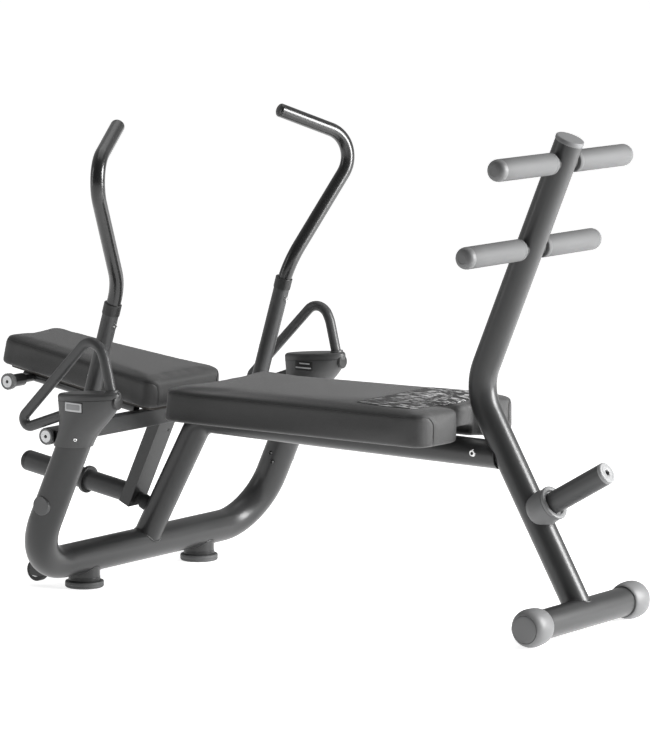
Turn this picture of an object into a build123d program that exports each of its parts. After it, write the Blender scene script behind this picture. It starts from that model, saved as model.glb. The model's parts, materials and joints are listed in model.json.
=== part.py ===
from build123d import *
import os
from math import cos, radians, sin, tan

# Abdominal crunch bench. Millimetres, +X from the head end to the foot end, +Y to the far side, +Z up.
# The model is symmetric about Y = 0 and stands on Z = 0.

# ---- driving dimensions -------------------------------------------------------------------------
side_y = 430.0  # centre plane of the uprights, brackets and loop handles
base_x = -468.0
base_z = 72.0
base_radius = 38.05
base_wall = 3.0
base_bend = 132.0
upright_lean = 25.0  # degrees from vertical, toward the foot end
upright_top_z = 474.0

foot_x = -473.0
foot_y = 218.0
foot_disc_radius = 45.5
foot_disc_height = 15.0
foot_sleeve_radius = 36.5

wheel_x = -566.0
wheel_y = 275.0
wheel_radius = 26.0
wheel_z = 38.0
wheel_width = 22.0
axle_radius = 5.0
running_gap = 0.05

hinge_x = -404.0
hinge_z = 386.0
hinge_pin_radius = 13.0
hinge_pin_end = 424.0
housing_radius = 20.0
housing_inner_y = 345.5
housing_outer_y = 430.0

post_radius = 31.75
post_wall = 3.0
foot_post_radius = 31.75
foot_post_wall = 3.0
foot_post_bend = 120.0
foot_post_top = (718.0, 1081.0)
foot_post_knee = (481.0, 519.0)

cross_x = 761.0
cross_z = 42.5
cross_radius = 33.0
cross_cap_radius = 42.5
cross_cap_end = 231.0

arm_y = 325.0
arm_radius = 19.0
arm_wall = 2.5
collar_radius = 20.5
grip_radius = 16.5
grip_wall = 4.0

horn_radius = 25.0  # plate sleeve, for 50 mm bores
horn_wall = 5.0
weight_horn_length = 322.0
storage_horn_length = 219.0

roller_radius = 24.5
roller_rod_radius = 12.0
roller_outer_y = 265.0
roller_bore_y = 250.0

seat_top_z = 479.0
seat_thickness = 76.0
seat_half_width = 193.0
head_pad_thickness = 69.0
head_board_thickness = 8.0
head_pad_tilt = 8.0  # degrees, head end up

parts = {}


# ---- helpers ------------------------------------------------------------------------------------
def bent_path(points, bends):
    """Straight runs joined by arcs, one bend radius for each inner point."""
    edges = []
    start = Vector(*points[0])
    for index, bend in enumerate(bends):
        corner = Vector(*points[index + 1])
        back = (Vector(*points[index]) - corner).normalized()
        ahead = (Vector(*points[index + 2]) - corner).normalized()
        half = radians(back.get_angle(ahead) / 2)
        first = corner + back * (bend / tan(half))
        last = corner + ahead * (bend / tan(half))
        middle = corner + (back + ahead).normalized() * (bend / sin(half) - bend)
        edges.append(Edge.make_line(start, first))
        edges.append(Edge.make_three_point_arc(first, middle, last))
        start = last
    edges.append(Edge.make_line(start, Vector(*points[-1])))
    return Wire(edges)


def round_bar(points, bends, radius):
    """Solid round bar along a bent path."""
    path = bent_path(points, bends)
    return sweep(Plane(origin=path @ 0, z_dir=path % 0) * Circle(radius), path=path)


def round_tube(points, bends, radius, wall):
    """Hollow round tube along a bent path."""
    return round_bar(points, bends, radius) - round_bar(points, bends, radius - wall)


def rod(start, end, radius):
    """Straight cylinder between two points."""
    first = Vector(*start)
    line = Vector(*end) - first
    return Plane(origin=first, z_dir=line) * Cylinder(
        radius, line.length, align=(Align.CENTER, Align.CENTER, Align.MIN)
    )


def cone(start, end, start_radius, end_radius):
    """Straight cone between two points."""
    first = Vector(*start)
    line = Vector(*end) - first
    return Plane(origin=first, z_dir=line) * Cone(
        start_radius, end_radius, line.length, align=(Align.CENTER, Align.CENTER, Align.MIN)
    )


def box_between(low, high):
    """Box from its lowest to its highest corner."""
    size = [b - a for a, b in zip(low, high)]
    return Pos(*low) * Box(*size, align=(Align.MIN, Align.MIN, Align.MIN))


def side_slab(outline, near_y, far_y):
    """Prism from an outline of (x, z) points, between two Y planes."""
    face = Face(Wire.make_polygon([Vector(x, near_y, z) for x, z in outline], close=True))
    return extrude(face, amount=far_y - near_y, dir=(0, 1, 0))


def mirrored(shape):
    """The same shape on the other side of Y = 0."""
    return mirror(shape, about=Plane.XZ)


def add_pair(name, near_shape):
    """Store a near part and its mirrored far part."""
    parts[name + "_near"] = near_shape
    parts[name + "_far"] = mirrored(near_shape)


# ---- base tube with its two uprights ------------------------------------------------------------
lean_slope = tan(radians(upright_lean))


def upright_x(z):
    """X of the upright's centre line at a height."""
    return base_x + (z - base_z) * lean_slope


top_x = upright_x(upright_top_z)
base_points = [
    (top_x, -side_y, upright_top_z),
    (base_x, -side_y, base_z),
    (base_x, side_y, base_z),
    (top_x, side_y, upright_top_z),
]
base_bends = [base_bend, base_bend]
base_solid = round_bar(base_points, base_bends, base_radius)
parts["base_tube"] = round_tube(base_points, base_bends, base_radius, base_wall)

sleeve = rod((foot_x, -foot_y, foot_disc_height), (foot_x, -foot_y, base_z - 15), foot_sleeve_radius)
add_pair("foot_sleeve", sleeve - base_solid)

disc = Pos(foot_x, -foot_y, 0) * Cylinder(
    foot_disc_radius, foot_disc_height, align=(Align.CENTER, Align.CENTER, Align.MIN)
)
disc = chamfer(disc.edges().filter_by(GeomType.CIRCLE).sort_by(Axis.Z)[0], 2.5)
disc = fillet(disc.edges().filter_by(GeomType.CIRCLE).sort_by(Axis.Z)[-1], 2.0)
add_pair("foot_pad", disc)

plug_z = 232.0
plug_x = upright_x(plug_z)
plug = rod((plug_x, -side_y, plug_z), (plug_x, -side_y - base_radius - 2.5, plug_z), 22.0)
plug = fillet(plug.edges().filter_by(GeomType.CIRCLE).sort_by(Axis.Y)[0], 1.8)
add_pair("upright_plug", plug - base_solid)

# ---- transport wheels on the base tube ----------------------------------------------------------
cheek = 5.0
cheek_y = wheel_width / 2 + 1.5
fork = side_slab(
    [
        (wheel_x - 10, wheel_z - 10),
        (wheel_x + 12, wheel_z - 12),
        (base_x - 10, base_z - 30),
        (base_x - 10, base_z + 12),
        (wheel_x - 10, wheel_z + 14),
    ],
    -wheel_y - cheek_y - cheek,
    -wheel_y + cheek_y + cheek,
)
slot = box_between(
    (wheel_x - 40, -wheel_y - cheek_y, 0),
    (wheel_x + wheel_radius + 4, -wheel_y + cheek_y, 120),
)
axle = rod(
    (wheel_x, -wheel_y - cheek_y - 1, wheel_z),
    (wheel_x, -wheel_y + cheek_y + 1, wheel_z),
    axle_radius,
)
add_pair("wheel_bracket", (fork - slot - base_solid) + axle)

wheel = Pos(wheel_x, -wheel_y, wheel_z) * Rot(90, 0, 0) * Cylinder(wheel_radius, wheel_width)
wheel = fillet(wheel.edges().filter_by(GeomType.CIRCLE), 4.0)
wheel_hole = Pos(wheel_x, -wheel_y, wheel_z) * Rot(90, 0, 0) * Cylinder(
    axle_radius + running_gap, wheel_width + 2
)
add_pair("wheel", wheel - wheel_hole)

# ---- handle loops beside the bench --------------------------------------------------------------
loop_radius = 12.0
loop_points = [
    (-214.0, -side_y, 486.0),
    (-236.0, -side_y, 575.0),
    (-264.0, -side_y, 635.0),
    (-518.0, -side_y, 382.0),
    (-354.0, -side_y, 440.0),
]
loop_bends = [60.0, 36.0, 16.0]
loop_solid = round_bar(loop_points, loop_bends, loop_radius)
add_pair("loop", round_tube(loop_points, loop_bends, loop_radius, 2.5))

# ---- plastic brackets over the upright tops -----------------------------------------------------
bracket_low_z = 372.0
split = 1.5


def oval(z, centre_x, half_x, half_y):
    """Level oval section of the bracket."""
    return Pos(centre_x, -side_y, z) * Ellipse(half_x, half_y)


def lid_z(x):
    """Height of the bracket's sloping lid."""
    return 489.0 + (x + 367.0) * 0.085


bracket = loft(
    [
        oval(bracket_low_z, upright_x(bracket_low_z), 46.5, 42.5),
        oval(418.0, upright_x(418.0) + 3, 57.0, 43.0),
        oval(470.0, -283.0, 82.0, 42.0),
        oval(510.0, -283.0, 85.0, 40.0),
    ]
)
above_lid = side_slab(
    [(-400, lid_z(-400)), (-150, lid_z(-150)), (-150, 560), (-400, 560)],
    -side_y - 80,
    -side_y + 80,
)
bracket = bracket - above_lid
bracket = fillet(bracket.faces().sort_by(Axis.Z)[-1].edges(), 8.0)
cavity = loft(
    [
        oval(424.0, upright_x(424.0) + 4, 50.0, 38.0),
        oval(468.0, -281.0, 75.0, 36.0),
        oval(485.0, -280.0, 76.0, 33.0),
    ]
)
shell = bracket - cavity - base_solid - loop_solid
far_half = box_between((-400, -side_y + split, 350), (-150, -side_y + 80, 530))
near_half = box_between((-400, -side_y - 80, 350), (-150, -side_y - split, 530))
seam = box_between((-400, -side_y - split, 350), (-150, -side_y + split, 530))
add_pair("bracket_outer", shell & near_half)
add_pair("bracket_inner", shell & far_half)
add_pair("bracket_gasket", (bracket - base_solid - loop_solid) & seam)

# ---- hinge housings for the moving frame --------------------------------------------------------
housing = rod((hinge_x, -housing_outer_y, hinge_z), (hinge_x, -housing_inner_y, hinge_z), housing_radius)
lug = side_slab(
    [
        (hinge_x, hinge_z - 14),
        (upright_x(hinge_z - 14), hinge_z - 14),
        (upright_x(hinge_z + 14), hinge_z + 14),
        (hinge_x, hinge_z + 14),
    ],
    -425.0,
    -399.0,
)
housing_bore = rod(
    (hinge_x, -housing_outer_y - 1, hinge_z),
    (hinge_x, -housing_inner_y + 1, hinge_z),
    hinge_pin_radius + running_gap,
)
housing = housing + (lug - base_solid - bracket) - housing_bore
add_pair("hinge_housing", housing)

hinge_cap = rod((hinge_x, -housing_outer_y - 6, hinge_z), (hinge_x, -housing_outer_y, hinge_z), 19.5)
hinge_cap = fillet(hinge_cap.edges().filter_by(GeomType.CIRCLE).sort_by(Axis.Y)[0], 1.5)
add_pair("hinge_cap", hinge_cap)

# ---- centre post and seat beam ------------------------------------------------------------------
beam_end_x = 545.0
beam_points = [
    (base_x - 3, 0, base_z),
    (-296.0, 0, 385.0),
    (beam_end_x, 0, 375.0),
]
beam_bends = [62.0]
foot_post_points = [
    (foot_post_top[0], 0, foot_post_top[1]),
    (foot_post_knee[0], 0, foot_post_knee[1]),
    (cross_x - 3, 0, cross_z),
]
foot_post_solid = round_bar(foot_post_points, [foot_post_bend], foot_post_radius)
beam_solid = round_bar(beam_points, beam_bends, post_radius)

saddle_gap = 7.0
saddle_blank = round_bar(foot_post_points, [foot_post_bend], foot_post_radius + saddle_gap)
parts["centre_post"] = (
    round_tube(beam_points, beam_bends, post_radius, post_wall) - base_solid - saddle_blank
)
saddle_zone = box_between((430, -60, 300), (560, 60, 450))
saddle = (saddle_blank - foot_post_solid) & saddle_zone & beam_solid
parts["beam_saddle"] = saddle

# ---- foot post, cross tube and their caps -------------------------------------------------------
cross_solid = rod((cross_x, -225, cross_z), (cross_x, 225, cross_z), cross_radius)
cross_hole = rod((cross_x, -225, cross_z), (cross_x, 225, cross_z), cross_radius - 3)
parts["cross_tube"] = cross_solid - cross_hole

roller_axes = {
    "upper": (foot_post_top[0] - 18.8, 1034.0),
    "lower": (foot_post_top[0] - 99.8, 841.0),
}
foot_post = round_tube(foot_post_points, [foot_post_bend], foot_post_radius, foot_post_wall)
foot_post = foot_post - cross_solid
for axis_x, axis_z in roller_axes.values():
    foot_post = foot_post - rod((axis_x, -60, axis_z), (axis_x, 60, axis_z), roller_rod_radius)
parts["foot_post"] = foot_post

post_dir = Vector(
    foot_post_top[0] - foot_post_knee[0], 0, foot_post_top[1] - foot_post_knee[1]
).normalized()
cap_start = Vector(foot_post_top[0], 0, foot_post_top[1])
cap_end = cap_start + post_dir * 9.0
post_cap = rod(tuple(cap_start), tuple(cap_end), foot_post_radius + 1.0)
parts["foot_post_cap"] = fillet(post_cap.edges().filter_by(GeomType.CIRCLE).sort_by(Axis.Z)[-1], 3.0)

cap_profile = [
    (0, -168.0),
    (36.0, -168.0),
    (40.5, -176.0),
    (42.5, -196.0),
    (42.5, -214.0),
    (38.5, -226.0),
    (30.0, -cross_cap_end),
    (0, -cross_cap_end),
]
cap_face = Face(
    Wire.make_polygon([Vector(cross_x + r, y, cross_z) for r, y in cap_profile], close=True)
)
cross_cap = revolve(cap_face, Axis((cross_x, 0, cross_z), (0, 1, 0)))
add_pair("cross_cap", cross_cap - cross_solid)

# ---- plate storage horn on the foot post --------------------------------------------------------
lower_dir = Vector(cross_x - 3 - foot_post_knee[0], 0, cross_z - foot_post_knee[1]).normalized()
horn_dir = Vector(-lower_dir.Z, 0, lower_dir.X)
horn_root = Vector(635.0, 0, 252.5)


def along_horn(distance):
    """Point on the storage horn's centre line."""
    return tuple(horn_root + horn_dir * distance)


collar_solid = cone(along_horn(14), along_horn(54), 41.0, 35.0)
collar_solid = collar_solid + rod(along_horn(54), along_horn(62), 39.5)
horn_core = rod(along_horn(22), along_horn(62), horn_radius - 1)
horn_core = horn_core + rod(along_horn(62), along_horn(storage_horn_length - 9), horn_radius)
horn_hole = rod(along_horn(22), along_horn(storage_horn_length - 9), horn_radius - horn_wall)
parts["storage_collar"] = collar_solid - horn_core - foot_post_solid
parts["storage_horn"] = horn_core - horn_hole - foot_post_solid
storage_cap = rod(along_horn(storage_horn_length - 9), along_horn(storage_horn_length), horn_radius)
storage_cap = fillet(storage_cap.edges().filter_by(GeomType.CIRCLE).sort_by(Axis.X)[-1], 2.5)
parts["storage_cap"] = storage_cap

# ---- ankle rollers ------------------------------------------------------------------------------
for level, (axis_x, axis_z) in roller_axes.items():
    rod_end = roller_bore_y - 2
    bar = rod((axis_x, -rod_end, axis_z), (axis_x, rod_end, axis_z), roller_rod_radius)
    stops = rod((axis_x, -40, axis_z), (axis_x, 40, axis_z), 17.0) - foot_post_solid
    parts["roller_rod_" + level] = bar + stops
    roller = rod((axis_x, -42, axis_z), (axis_x, -roller_outer_y, axis_z), roller_radius)
    roller = fillet(roller.edges().filter_by(GeomType.CIRCLE).sort_by(Axis.Y)[0], 9.0)
    roller = fillet(roller.edges().filter_by(GeomType.CIRCLE).sort_by(Axis.Y)[-1], 3.0)
    bore = rod(
        (axis_x, -41, axis_z),
        (axis_x, -roller_bore_y, axis_z),
        roller_rod_radius + running_gap,
    )
    add_pair("roller_" + level, roller - bore)

# ---- seat pad and its two hat straps ------------------------------------------------------------
seat_low_z = seat_top_z - seat_thickness
seat_outline = [
    (-276.0, -seat_half_width),
    (463.0, -seat_half_width),
    (470.0, -62.0),
    (438.0, -40.0),
    (438.0, 40.0),
    (470.0, 62.0),
    (463.0, seat_half_width),
    (-276.0, seat_half_width),
]
seat_face = Face(Wire.make_polygon([Vector(x, y, seat_low_z) for x, y in seat_outline], close=True))
seat = extrude(seat_face, amount=seat_thickness, dir=(0, 0, 1))
seat_corners = seat.edges().filter_by(Axis.Z).filter_by(lambda e: abs(e.center().Y) > 150)
seat = fillet(seat_corners, 40.0)
seat_notch = seat.edges().filter_by(Axis.Z).filter_by(lambda e: abs(e.center().Y) < 120)
seat = fillet(seat_notch.filter_by(lambda e: e.center().X > 400), 13.0)
seat = fillet(seat.faces().sort_by(Axis.Z)[-1].edges(), 12.0)
seat = fillet(seat.faces().sort_by(Axis.Z)[0].edges(), 11.0)
channel_top = 430.5
channel = box_between((-300.0, -37.0, 380.0), (500.0, 37.0, channel_top))
parts["seat_pad"] = seat - channel

strap_sheet = 3.0
for strap_name, strap_x in (("head", -60.0), ("foot", 320.0)):
    low = (strap_x - 25, -125.0, seat_low_z - strap_sheet)
    high = (strap_x + 25, 125.0, channel_top)
    hat = box_between(low, high)
    for sign in (-1, 1):
        wing_side = sorted((sign * 37.0, sign * 130.0))
        hat = hat - box_between(
            (strap_x - 30, wing_side[0], seat_low_z), (strap_x + 30, wing_side[1], 440)
        )
    hollow = box_between((strap_x - 30, -33.0, 380.0), (strap_x + 30, 33.0, channel_top - 2.0))
    parts["seat_strap_" + strap_name] = hat - hollow - beam_solid

# ---- moving crunch frame: crossbar with hinge pins ----------------------------------------------
crossbar = box_between((hinge_x - 15, -arm_y + 18, hinge_z - 20), (hinge_x + 15, arm_y - 18, hinge_z + 20))
crossbar = fillet(crossbar.edges().filter_by(Axis.Y), 4.0)
crossbar_core = box_between(
    (hinge_x - 12, -arm_y + 21, hinge_z - 17), (hinge_x + 12, arm_y - 21, hinge_z + 17)
)
crossbar = crossbar - crossbar_core
pins = rod((hinge_x, -hinge_pin_end, hinge_z), (hinge_x, hinge_pin_end, hinge_z), hinge_pin_radius)
pins = pins - box_between(
    (hinge_x - 30, -arm_y + 20, hinge_z - 30), (hinge_x + 30, arm_y - 20, hinge_z + 30)
)
parts["crossbar"] = crossbar + pins

# ---- pendulum link, weight horn and its trim ----------------------------------------------------
link_lean = radians(25.0)
link_slope = tan(link_lean)


def link_x(z):
    """X of the pendulum link's centre line at a height."""
    return hinge_x - (hinge_z - z) * link_slope


link_top = hinge_z - 18.0
link_low = 160.0
half_run = 15.5 / cos(link_lean)
link_outline = [
    (link_x(link_top) - half_run, link_top),
    (link_x(link_top) + half_run, link_top),
    (link_x(link_low) + half_run, link_low),
    (link_x(link_low + 13) - half_run, link_low + 13),
]
link = side_slab(link_outline, -29.5, 29.5)
link_core_outline = [
    (link_x(link_top - 6) - half_run + 4, link_top - 6),
    (link_x(link_top - 6) + half_run - 4, link_top - 6),
    (link_x(link_low + 8) + half_run - 4, link_low + 8),
    (link_x(link_low + 18) - half_run + 4, link_low + 18),
]
link = link - side_slab(link_core_outline, -26.0, 26.0)
crossbar_block = box_between((hinge_x - 15, -200, hinge_z - 20), (hinge_x + 15, 200, hinge_z + 20))

horn_rise = radians(9.0)
weight_root = Vector(link_x(186.0), 0, 186.0)
weight_dir = Vector(-cos(horn_rise), 0, sin(horn_rise))


def along_weight(distance):
    """Point on the weight horn's centre line."""
    return tuple(weight_root + weight_dir * distance)


link_block = side_slab(link_outline, -29.5, 29.5)
weight_core = rod(along_weight(0), along_weight(148), horn_radius - 1)
weight_core = weight_core + rod(along_weight(148), along_weight(weight_horn_length), horn_radius)
weight_hole = rod(along_weight(0), along_weight(weight_horn_length), horn_radius - horn_wall)
parts["pendulum_link"] = link - crossbar_block
link_face = [
    (link_x(120.0) - half_run, 120.0),
    (link_x(120.0) + 60.0, 120.0),
    (link_x(280.0) + 60.0, 280.0),
    (link_x(280.0) - half_run, 280.0),
]
parts["weight_horn"] = weight_core - weight_hole - side_slab(link_face, -40.0, 40.0)
flange = rod(along_weight(138), along_weight(148), 33.0)
flange = fillet(flange.edges().filter_by(GeomType.CIRCLE), 2.0)
parts["horn_flange"] = flange - rod(along_weight(130), along_weight(156), horn_radius - 1)
horn_cap = rod(along_weight(weight_horn_length), along_weight(weight_horn_length + 18), horn_radius)
horn_cap = fillet(horn_cap.edges().filter_by(GeomType.CIRCLE).sort_by(Axis.X)[0], 12.0)
parts["horn_cap"] = horn_cap

# ---- rest bumper between the link and the centre post -------------------------------------------
bumper_root = Vector(link_x(186.0), 0, 186.0)
bumper_dir = Vector(cos(link_lean), 0, -sin(link_lean))


def along_bumper(distance):
    """Point on the bumper's centre line, from the middle of the link."""
    return tuple(bumper_root + bumper_dir * distance)


bumper = rod(along_bumper(15.6), along_bumper(32), 15.0)
bumper = chamfer(bumper.edges().filter_by(GeomType.CIRCLE).sort_by(Axis.X)[0], 2.0)
bumper = bumper + rod(along_bumper(32), along_bumper(90), 18.0)
parts["bumper"] = bumper - beam_solid

# ---- arms, collars and grips --------------------------------------------------------------------
arm_slope = 0.304
arm_offset = 17.5  # the arm's line passes this far in front of the hinge axis


def arm_point(z):
    """Point on the near arm's centre line at a height."""
    return (hinge_x + arm_offset + (z - hinge_z) * arm_slope, -arm_y, z)


arm_top = arm_point(664.0)
arm_dir = (Vector(*arm_point(500.0)) - Vector(*arm_point(400.0))).normalized()
arm_low = Vector(*arm_point(hinge_z)) - arm_dir * 24.0
arm = rod(tuple(arm_low), arm_top, arm_radius)
arm = arm - rod(tuple(arm_low + arm_dir * 4), arm_top, arm_radius - arm_wall)
arm_boss = rod((hinge_x, -arm_y - 15, hinge_z), (hinge_x, -arm_y + 15, hinge_z), 21.0)
arm = (arm + arm_boss) - parts["crossbar"]
arm = arm - rod((hinge_x, -arm_y - 40, hinge_z), (hinge_x, -arm_y + 40, hinge_z), hinge_pin_radius)
arm = arm - box_between((hinge_x - 15, -arm_y + 18, hinge_z - 20), (hinge_x + 15, 0, hinge_z + 20))
add_pair("arm", arm)

collar_end = arm_point(687.0)
collar = rod(arm_point(662.0), collar_end, collar_radius)
collar = fillet(collar.edges().filter_by(GeomType.CIRCLE).sort_by(Axis.Z)[-1], 1.5)
grip_points = [
    arm_point(666.0),
    (-278.0, -327.0, 728.0),
    (-200.0, -512.0, 1004.0),
    (-293.0, -308.0, 1087.0),
]
grip_bends = [150.0, 70.0]
grip_solid = round_bar(grip_points, grip_bends, grip_radius)
grip_hole = round_bar(grip_points, grip_bends, grip_radius - grip_wall)
arm_solid = rod(arm_point(600.0), arm_top, arm_radius)
add_pair("arm_collar", collar - grip_solid - arm_solid)
add_pair("grip", grip_solid - grip_hole - arm_solid)

# ---- head pad with its board and frame ----------------------------------------------------------
tilt = radians(head_pad_tilt)
pad_frame_x = -327.0
pad_frame_z = 485.0
pad_plane = Plane(
    origin=(pad_frame_x, 0, pad_frame_z),
    x_dir=(-cos(tilt), 0, sin(tilt)),
    z_dir=(sin(tilt), 0, cos(tilt)),
)
pad_length = 500.0


def pad_block(outline, low, high):
    """Prism in the pad's own frame: x toward the head end, z up from the pad's top face."""
    face = Face(Wire.make_polygon([Vector(x, y, low) for x, y in outline], close=True))
    return extrude(face, amount=high - low, dir=(0, 0, 1))


pad_outline = [
    (0.0, -143.0),
    (pad_length, -101.0),
    (pad_length, 101.0),
    (0.0, 143.0),
]
head_pad = pad_block(pad_outline, -head_pad_thickness, 0.0)
head_pad = fillet(head_pad.edges().filter_by(Axis.Z), 30.0)
head_pad = fillet(head_pad.faces().sort_by(Axis.Z)[-1].edges(), 14.0)
head_pad = fillet(head_pad.faces().sort_by(Axis.Z)[0].edges(), 10.0)
parts["head_pad"] = pad_plane * head_pad

board_outline = [
    (18.0, -118.0),
    (pad_length - 18, -78.0),
    (pad_length - 18, 78.0),
    (18.0, 118.0),
]
board_low = -head_pad_thickness - head_board_thickness
head_board = pad_block(board_outline, board_low, -head_pad_thickness)
head_board = fillet(head_board.edges().filter_by(Axis.Z), 18.0)
parts["head_board"] = pad_plane * head_board

rail_radius = 11.0
rail_z = board_low - rail_radius
rail_start = 80.0
rails = None
for sign in (-1, 1):
    rail_path = [(rail_start, sign * 88.0, rail_z), (pad_length - 62.0, sign * 66.0, rail_z)]
    rail = rod(rail_path[0], rail_path[1], rail_radius)
    rails = rail if rails is None else rails + rail
peg_x = 406.0
peg = rod((peg_x, -168.0, rail_z), (peg_x, 168.0, rail_z), 9.0)
for sign in (-1, 1):
    peg = peg + rod((peg_x, sign * 118.0, rail_z), (peg_x, sign * 160.0, rail_z), 15.0)
frame_solid = pad_plane * (rails + peg)
parts["pad_frame"] = frame_solid - crossbar_block - link_block

peg_cap = rod((peg_x, 160.0, rail_z), (peg_x, 172.0, rail_z), 19.0)
peg_cap = peg_cap - rod((peg_x, 150.0, rail_z), (peg_x, 168.0, rail_z), 9.0)
add_pair("peg_cap", pad_plane * peg_cap)

# ---- write one STEP file for each part ----------------------------------------------------------
os.makedirs("parts", exist_ok=True)
for name, shape in parts.items():
    export_step(shape, os.path.join("parts", name + ".step"))
    box = shape.bounding_box()
    print(name, len(shape.solids()), [round(v, 1) for v in (*box.min, *box.max)])
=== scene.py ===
import json
import math
import bmesh
import bpy
import numpy as np
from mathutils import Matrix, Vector
from mathutils.bvhtree import BVHTree


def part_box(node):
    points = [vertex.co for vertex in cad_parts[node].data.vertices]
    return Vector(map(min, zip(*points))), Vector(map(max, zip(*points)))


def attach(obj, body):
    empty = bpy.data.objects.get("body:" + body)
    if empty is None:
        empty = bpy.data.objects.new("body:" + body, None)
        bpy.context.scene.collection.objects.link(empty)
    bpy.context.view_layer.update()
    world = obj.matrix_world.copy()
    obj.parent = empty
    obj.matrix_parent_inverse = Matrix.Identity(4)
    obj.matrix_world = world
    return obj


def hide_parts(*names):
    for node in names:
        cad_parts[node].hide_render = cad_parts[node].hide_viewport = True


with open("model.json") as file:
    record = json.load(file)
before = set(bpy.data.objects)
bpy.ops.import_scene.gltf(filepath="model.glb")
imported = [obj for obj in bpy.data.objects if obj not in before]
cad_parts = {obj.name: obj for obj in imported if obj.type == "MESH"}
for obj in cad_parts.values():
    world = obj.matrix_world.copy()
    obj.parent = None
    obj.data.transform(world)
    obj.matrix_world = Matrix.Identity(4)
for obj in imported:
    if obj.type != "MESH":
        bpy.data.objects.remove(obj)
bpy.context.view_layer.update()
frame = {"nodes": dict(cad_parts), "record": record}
nodes = frame["nodes"]
sideSigns = {"near": -1, "far": 1}
print("frame loaded,", len(nodes), "nodes")


class Sock:  # one socket, so that shader maths can be written as an expression
    def __init__(self, tree, link):
        self.tree = tree
        self.link = link

    def calc(self, operation, first, second):
        return self.make("ShaderNodeMath", {"operation": operation}, {0: first, 1: second})

    def make(self, kind, settings=None, values=None, out=0):
        node = self.tree.nodes.new(kind)
        for key, value in (settings or {}).items():
            setattr(node, key, value)
        for key, value in (values or {}).items():
            if isinstance(value, Sock):
                self.tree.links.new(value.link, node.inputs[key])
            else:
                node.inputs[key].default_value = value
        return Sock(self.tree, node.outputs[out])

    def __add__(self, other):
        return self.calc("ADD", self, other)

    def __radd__(self, other):
        return self.calc("ADD", other, self)

    def __sub__(self, other):
        return self.calc("SUBTRACT", self, other)

    def __rsub__(self, other):
        return self.calc("SUBTRACT", other, self)

    def __mul__(self, other):
        return self.calc("MULTIPLY", self, other)

    def __rmul__(self, other):
        return self.calc("MULTIPLY", other, self)

    def step(self, low, high):
        return self.make("ShaderNodeMapRange", {"interpolation_type": "SMOOTHSTEP"},
                         {0: self, 1: low, 2: high})

    def noise(self, scale, detail=3.0, rough=0.5):
        return self.make("ShaderNodeTexNoise", None,
                         {"Vector": self, "Scale": scale, "Detail": detail, "Roughness": rough})

    def cells(self, scale, feature="F1"):
        return self.make("ShaderNodeTexVoronoi", {"feature": feature}, {"Vector": self, "Scale": scale})

    def stretch(self, amounts):
        return self.make("ShaderNodeVectorMath", {"operation": "MULTIPLY"}, {0: self, 1: amounts})


def blendColour(mask, dark, light):
    return mask.make("ShaderNodeMix", {"data_type": "RGBA"}, {0: mask, 6: dark, 7: light}, out=2)


def bumpFrom(height, strength, distance, under=None):
    values = {"Strength": strength, "Distance": distance, "Height": height}
    if under is not None:
        values["Normal"] = under
    return height.make("ShaderNodeBump", None, values)


def startMaterial(name):
    material = bpy.data.materials.new(name)
    material.use_nodes = True
    material.node_tree.nodes.clear()
    seed = Sock(material.node_tree, None)
    place = seed.make("ShaderNodeTexCoord", None, None, out="Object")
    return material, place


def closeMaterial(material, place, values):
    surface = place.make("ShaderNodeBsdfPrincipled", None, values)
    output = material.node_tree.nodes.new("ShaderNodeOutputMaterial")
    material.node_tree.links.new(surface.link, output.inputs["Surface"])
    return material


def grey(level, warm=0.0):
    return (level * (1 + warm), level, level * (1 - warm), 1)


powderCoat = {"body": 0.021, "light": 0.029, "grain": 900.0, "grainDepth": 0.00012,
              "rough": 0.34, "specular": 0.36, "cool": -0.015}


def makePowderCoat(name, body, light, rough, coat=0.25):
    material, place = startMaterial(name)
    cloud = place.noise(14.0, 4.0)
    scuff = place.noise(55.0, 6.0, 0.65).step(0.6, 0.78)
    grain = place.noise(powderCoat["grain"], 2.0)
    peel = place.noise(powderCoat["grain"] * 0.32, 1.0)
    colour = blendColour(cloud * 0.7 + scuff * 0.35, grey(body, powderCoat["cool"]),
                         grey(light, powderCoat["cool"]))
    normal = bumpFrom(grain * 0.6 + peel * 0.7, 0.32, powderCoat["grainDepth"])
    return closeMaterial(material, place, {
        "Base Color": colour,
        "Roughness": rough + cloud * 0.07 + scuff * 0.09,
        "Specular IOR Level": powderCoat["specular"],
        "Coat Weight": coat,
        "Coat Roughness": 0.22,
        "Normal": normal,
    })


framePaint = makePowderCoat("framePaint", powderCoat["body"], powderCoat["light"], powderCoat["rough"])
armPaint = makePowderCoat("armPaint", 0.045, 0.056, 0.38, 0.15)
sleevePaint = makePowderCoat("sleevePaint", 0.05, 0.062, 0.42, 0.1)

leather = {"dark": 0.032, "light": 0.05, "cell": 620.0, "rough": 0.5}


def makeLeather(name, dark, light):
    material, place = startMaterial(name)
    warp = place.noise(240.0, 2.0)
    crease = place.cells(leather["cell"], "DISTANCE_TO_EDGE").step(0.0, 0.16)
    fine = place.cells(leather["cell"] * 1.9, "DISTANCE_TO_EDGE").step(0.0, 0.2)
    cloud = place.noise(9.0, 5.0, 0.6)
    rub = place.noise(3.2, 2.0).step(0.42, 0.72)
    colour = blendColour(crease * 0.45 + cloud * 0.5 + rub * 0.2, grey(dark), grey(light))
    height = crease * 0.75 + fine * 0.25 + warp * 0.2
    normal = bumpFrom(height, 0.42, 0.00028, bumpFrom(cloud, 0.15, 0.002))
    return closeMaterial(material, place, {
        "Base Color": colour,
        "Roughness": leather["rough"] + (1 - crease) * 0.14 + cloud * 0.1 - rub * 0.05,
        "Specular IOR Level": 0.4,
        "Sheen Weight": 0.12,
        "Sheen Roughness": 0.45,
        "Normal": normal,
    })


padLeather = makeLeather("padLeather", leather["dark"], leather["light"])
seamLeather = makeLeather("seamLeather", 0.012, 0.018)


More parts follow.
